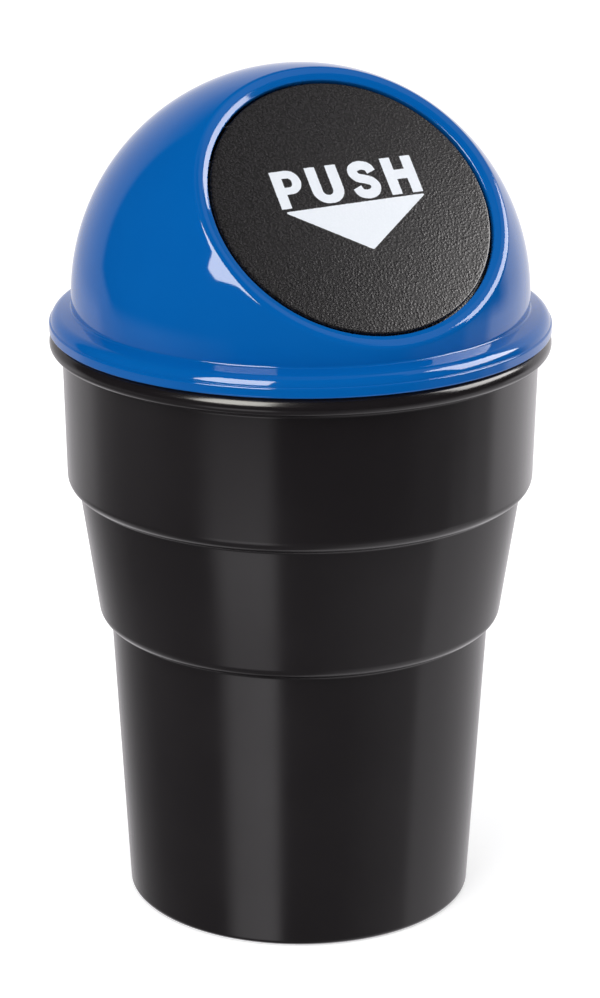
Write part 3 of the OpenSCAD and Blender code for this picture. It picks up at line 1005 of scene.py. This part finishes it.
CAMERA_TURN = math.radians(-25.4)
CAMERA_PITCH = math.radians(18.595)
CAMERA_ROLL = math.radians(0.18)
CAMERA_REACH, CAMERA_HEIGHT = 0.685, 0.3133
FOCAL_PX, PHOTO_HEIGHT_PX = 3569.0, 998


def make_camera():
    """The camera, where the photograph was taken from."""
    data = bpy.data.cameras.new("photo_camera")
    data.sensor_fit = "VERTICAL"
    data.sensor_height = 36.0
    data.lens = FOCAL_PX / PHOTO_HEIGHT_PX * data.sensor_height
    data.clip_start = 0.01
    data.clip_end = 50.0
    camera = bpy.data.objects.new("photo_camera", data)
    camera.location = (
        CAMERA_REACH * math.sin(CAMERA_TURN), -CAMERA_REACH * math.cos(CAMERA_TURN), CAMERA_HEIGHT,
    )
    turn = Matrix.Rotation(CAMERA_TURN, 3, "Z")
    tilt = Matrix.Rotation(math.pi / 2 - CAMERA_PITCH, 3, "X")
    roll = Matrix.Rotation(CAMERA_ROLL, 3, "Z")
    camera.rotation_euler = (turn @ tilt @ roll).to_euler()
    bpy.context.scene.collection.objects.link(camera)
    bpy.context.scene.camera = camera


def studio_direction(azimuth, elevation):
    """Direction from the bin, in degrees: azimuth 0 towards the camera and + to its right, elevation up."""
    a, e = math.radians(azimuth), math.radians(elevation)
    towards = Vector((math.sin(CAMERA_TURN), -math.cos(CAMERA_TURN), 0))
    right = Vector((math.cos(CAMERA_TURN), math.sin(CAMERA_TURN), 0))
    return (towards * math.cos(a) + right * math.sin(a)) * math.cos(e) + Vector((0, 0, math.sin(e)))


def ramp(value, stops):
    """Value between the stops (position, level), level beyond both ends."""
    if value <= stops[0][0]:
        return stops[0][1]
    for (p0, l0), (p1, l1) in zip(stops, stops[1:]):
        if value <= p1:
            return l0 + (l1 - l0) * (value - p0) / (p1 - p0)
    return stops[-1][1]


def room_glow(azimuth, elevation):
    """Light that the polished plastic mirrors from the room, as a share of the white background."""
    # The wall behind is bright, and fades towards its left edge and upwards
    edge = -116 + 1.6 * max(0.0, -elevation) - 0.45 * max(0.0, elevation)
    wall = ramp(azimuth, [
        (-180, 1.05), (-165, 0.85), (-150, 0.7), (min(edge - 4, -110), 0.42), (edge, 0.01),
        (114, 0.02), (126, 1.0), (146, 1.2), (165, 1.08), (180, 1.05),
    ])
    wall *= ramp(elevation, [(0, 1.0), (20, 0.82), (27, 0.7), (36, 0.32), (42, 0.01)])
    # The ceiling is dim, with a dim panel on the right
    panel_edge = ramp(elevation, [(52, 62.0), (58, 71.0), (66, 79.0)])
    panel = ramp(azimuth, [(panel_edge, 0.0), (panel_edge + 6, 0.42), (126, 0.42), (135, 0.0)])
    panel *= ramp(elevation, [(49, 0.0), (53, 1.0), (68, 1.0), (76, 0.4), (84, 0.0)])
    above = wall + max(panel, ramp(elevation, [(66, 0.0), (74, 0.12)]))
    grazing = ramp(azimuth, [
        (-180, 1.0), (-150, 0.83), (-121, 0.8), (-113, 0.46), (-95, 0.28), (-78, 0.28), (-56, 0.16),
        (-36, 0.05), (-30, 0.0), (50, 0.0), (62, 0.12), (86, 0.14), (91, 0.4), (103, 0.42),
        (109, 1.3), (146, 1.26), (160, 1.1), (180, 1.05),
    ])
    low = ramp(azimuth, [
        (-180, 0.85), (-157, 0.76), (-143, 0.57), (-128, 0.33), (-106, 0.16), (-52, 0.14),
        (-47, 0.6), (-42, 1.1), (-30, 1.25), (-20, 1.4), (-14, 1.35), (-12, 0.3), (-9, 0.14),
        (30, 0.16), (60, 0.3), (77, 0.36), (80, 0.8), (120, 0.74), (180, 0.85),
    ])
    # The table is pale all round, apart from the part before the camera
    table = ramp(azimuth, [
        (-180, 1.5), (-150, 1.4), (-115, 0.5), (-80, 0.15), (10, 0.15), (60, 0.7), (110, 0.95), (150, 1.5),
    ])
    in_grazing = ramp(elevation, [(-12, 1.0), (-7, 0.0)])
    in_low = ramp(elevation, [(-24, 1.0), (-18.5, 0.0)])
    table_edge = ramp(abs(azimuth), [(60, -35.0), (110, -29.5)])
    on_table = ramp(elevation, [(table_edge - 8, 1.0), (table_edge, 0.0)])
    glow = above + (grazing - above) * in_grazing
    glow += (low - glow) * in_low
    return glow + (table - glow) * on_table


def reflection_only(piece):
    """A stage piece that only mirror-like surfaces see."""
    piece.visible_camera = False
    piece.visible_diffuse = False
    piece.visible_transmission = False
    piece.visible_volume_scatter = False
    piece.visible_shadow = False


def glowing_material(name, colour, level):
    """A material that only gives light, with its nodes, its links and its light."""
    material = bpy.data.materials.new(name)
    material.use_nodes = True
    nodes, links = material.node_tree.nodes, material.node_tree.links
    nodes.clear()
    light = nodes.new("ShaderNodeEmission")
    light.inputs["Color"].default_value = (*colour, 1)
    light.inputs["Strength"].default_value = level
    output = nodes.new("ShaderNodeOutputMaterial")
    links.new(light.outputs["Emission"], output.inputs["Surface"])
    return material, nodes, links, light


def make_room():
    """A wide shell of dim and bright walls round the bin, which only polished plastic sees."""
    radius = 3.0
    centre = Vector((0, 0, 0.1))
    step = 1.5
    columns = [-180 + step * k for k in range(int(360 / step) + 1)]
    rows = [-90 + step * k for k in range(int(180 / step) + 1)]
    verts = [centre + studio_direction(a, e) * radius for e in rows for a in columns]
    glows = [room_glow(a, e) for e in rows for a in columns]
    width = len(columns)
    faces = []
    for r in range(len(rows) - 1):
        for c in range(width - 1):
            k = r * width + c
            faces.append((k, k + 1, k + width + 1, k + width))
    mesh = bpy.data.meshes.new("studio_room")
    mesh.from_pydata(verts, [], faces)
    layer = mesh.attributes.new("glow", "FLOAT", "POINT")
    layer.data.foreach_set("value", glows)
    room = bpy.data.objects.new("studio_room", mesh)
    bpy.context.scene.collection.objects.link(room)
    material, nodes, links, light = glowing_material("room_light", (1.0, 0.97, 1.0), 1.0)
    glow = nodes.new("ShaderNodeAttribute")
    glow.attribute_name = "glow"
    links.new(glow.outputs["Fac"], light.inputs["Strength"])
    mesh.materials.append(material)
    reflection_only(room)


def make_card(name, corners, reach, colour, level):
    """A lit card in the room: corners of (azimuth, elevation, rounding), all in degrees."""
    centre = Vector((0, 0, 0.1))
    verts = [centre + studio_direction(p.x, p.y) * reach for p in rounded(corners)]
    mesh = bpy.data.meshes.new(name)
    mesh.from_pydata(verts, [], [tuple(range(len(verts)))])
    card = bpy.data.objects.new(name, mesh)
    bpy.context.scene.collection.objects.link(card)
    mesh.materials.append(glowing_material(name, colour, level)[0])
    reflection_only(card)
    return card


def flag_off(card, names):
    """Keeps a card's light off some pieces, as a studio's flag does."""
    shaded = bpy.data.collections.new(card.name + "_flag")
    for name in names:
        shaded.objects.link(bpy.data.objects[name])
    card.light_linking.receiver_collection = shaded
    for entry in shaded.collection_objects:
        entry.light_linking.link_state = "EXCLUDE"


def make_cards():
    """The two softboxes that the polished plastic mirrors: a large far one on the left, a near one on the right."""
    left = [
        (-50, 21.5, 3), (-44, 17.5, 3), (-30, 16.5, 2), (-14, 17, 1), (-14, 54, 1), (-50, 54, 1),
    ]
    right = [(74, 20, 1), (116, 20, 1), (116, 41, 1), (101, 47, 1), (97, 53, 1), (74, 53, 1)]
    left_box = make_card("left_box", left, 2.6, (1.0, 0.975, 0.91), 12.4)
    flag_off(left_box, ["flap_body", "flap_print"])
    make_card("right_box", right, 0.45, (1.0, 0.975, 0.96), 10.9)


def make_floor():
    """A plain pale floor that shows white to the camera but keeps the bin's shadow."""
    size = 3.0
    mesh = bpy.data.meshes.new("studio_floor")
    corners = [(-size, -size, 0), (size, -size, 0), (size, size, 0), (-size, size, 0)]
    mesh.from_pydata(corners, [], [(0, 1, 2, 3)])
    floor = bpy.data.objects.new("studio_floor", mesh)
    bpy.context.scene.collection.objects.link(floor)
    material = bpy.data.materials.new("pale_floor")
    material.use_nodes = True
    nodes, links = material.node_tree.nodes, material.node_tree.links
    nodes.clear()
    paint = nodes.new("ShaderNodeBsdfDiffuse")
    paint.inputs["Color"].default_value = (0.86, 0.86, 0.87, 1)
    lift = nodes.new("ShaderNodeEmission")
    lift.inputs["Color"].default_value = (1, 1, 1, 1)
    lift.inputs["Strength"].default_value = 0.45
    both = nodes.new("ShaderNodeAddShader")
    links.new(paint.outputs["BSDF"], both.inputs[0])
    links.new(lift.outputs["Emission"], both.inputs[1])
    seen = nodes.new("ShaderNodeLightPath")
    choose = nodes.new("ShaderNodeMixShader")
    links.new(seen.outputs["Is Camera Ray"], choose.inputs["Fac"])
    links.new(paint.outputs["BSDF"], choose.inputs[1])
    links.new(both.outputs["Shader"], choose.inputs[2])
    output = nodes.new("ShaderNodeOutputMaterial")
    links.new(choose.outputs["Shader"], output.inputs["Surface"])
    mesh.materials.append(material)
    floor.visible_glossy = False


def make_world(ambient=0.78):
    """White to the camera and in reflections, and a plain soft level of light on everything else."""
    world = bpy.data.worlds.new("studio_world")
    bpy.context.scene.world = world
    world.use_nodes = True
    nodes, links = world.node_tree.nodes, world.node_tree.links
    nodes.clear()
    path = nodes.new("ShaderNodeLightPath")
    seen = nodes.new("ShaderNodeMath")
    seen.operation = "MAXIMUM"
    links.new(path.outputs["Is Camera Ray"], seen.inputs[0])
    links.new(path.outputs["Is Glossy Ray"], seen.inputs[1])
    seen_all = nodes.new("ShaderNodeMath")
    seen_all.operation = "MAXIMUM"
    links.new(seen.outputs[0], seen_all.inputs[0])
    links.new(path.outputs["Is Transmission Ray"], seen_all.inputs[1])
    level = nodes.new("ShaderNodeMapRange")
    level.inputs["To Min"].default_value = ambient
    level.inputs["To Max"].default_value = 1.0
    links.new(seen_all.outputs[0], level.inputs["Value"])
    sky = nodes.new("ShaderNodeBackground")
    sky.inputs["Color"].default_value = (1, 1, 1, 1)
    links.new(level.outputs["Result"], sky.inputs["Strength"])
    output = nodes.new("ShaderNodeOutputWorld")
    links.new(sky.outputs["Background"], output.inputs["Surface"])


def add_lamp(name, azimuth, elevation, distance, width, power):
    """A soft square lamp that lights the bin but isn't mirrored in it, because the room shows its own cards."""
    data = bpy.data.lights.new(name, "AREA")
    data.shape = "SQUARE"
    data.size = width
    data.energy = power
    lamp = bpy.data.objects.new(name, data)
    aim = Vector((0, 0, 0.1))
    lamp.location = aim + studio_direction(azimuth, elevation) * distance
    lamp.rotation_euler = (aim - lamp.location).to_track_quat("-Z", "Y").to_euler()
    lamp.visible_camera = False
    lamp.visible_glossy = False
    bpy.context.scene.collection.objects.link(lamp)
    return lamp


def make_studio():
    make_camera()
    make_world()
    make_room()
    make_cards()
    make_floor()
    add_lamp("key_lamp", -35, 45, 1.1, 0.7, 4.2)
    add_lamp("right_lamp", 80, 40, 1.0, 0.6, 1.0)
    bpy.context.scene.view_settings.view_transform = "Standard"


# The bin

def make_bin():
    groups = {"skin": moulded_skin_group(), "grain": pebble_grain_group()}
    black = black_polish(groups)
    blue = blue_gloss(groups)
    grained = black_grain(groups)
    ink = white_ink(groups)
    pin_steel = drawn_steel("pin_steel", (0.60, 0.60, 0.62), 120.0)
    wire_steel = drawn_steel("wire_steel", (0.50, 0.50, 0.53), 900.0)

    cup = make_cup()
    dress(cup, black)
    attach(cup, "cup")
    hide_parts("bin_cup")

    lid = joined("lid_body", [make_lid_shell()] + make_lid_fittings())
    crisp(lid)
    dress(lid, blue)
    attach(lid, "lid")
    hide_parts("dome_lid")

    flap = make_flap()
    crisp(flap)
    dress(flap, grained)
    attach(flap, "flap")
    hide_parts("push_flap")

    label = make_print()
    dress(label, ink)
    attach(label, "flap")

    spring = make_spring(wire_steel)
    dress(spring, wire_steel)
    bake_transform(spring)
    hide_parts("return_spring")

    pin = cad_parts["hinge_pin"]
    dress(pin, pin_steel)


make_bin()
make_studio()
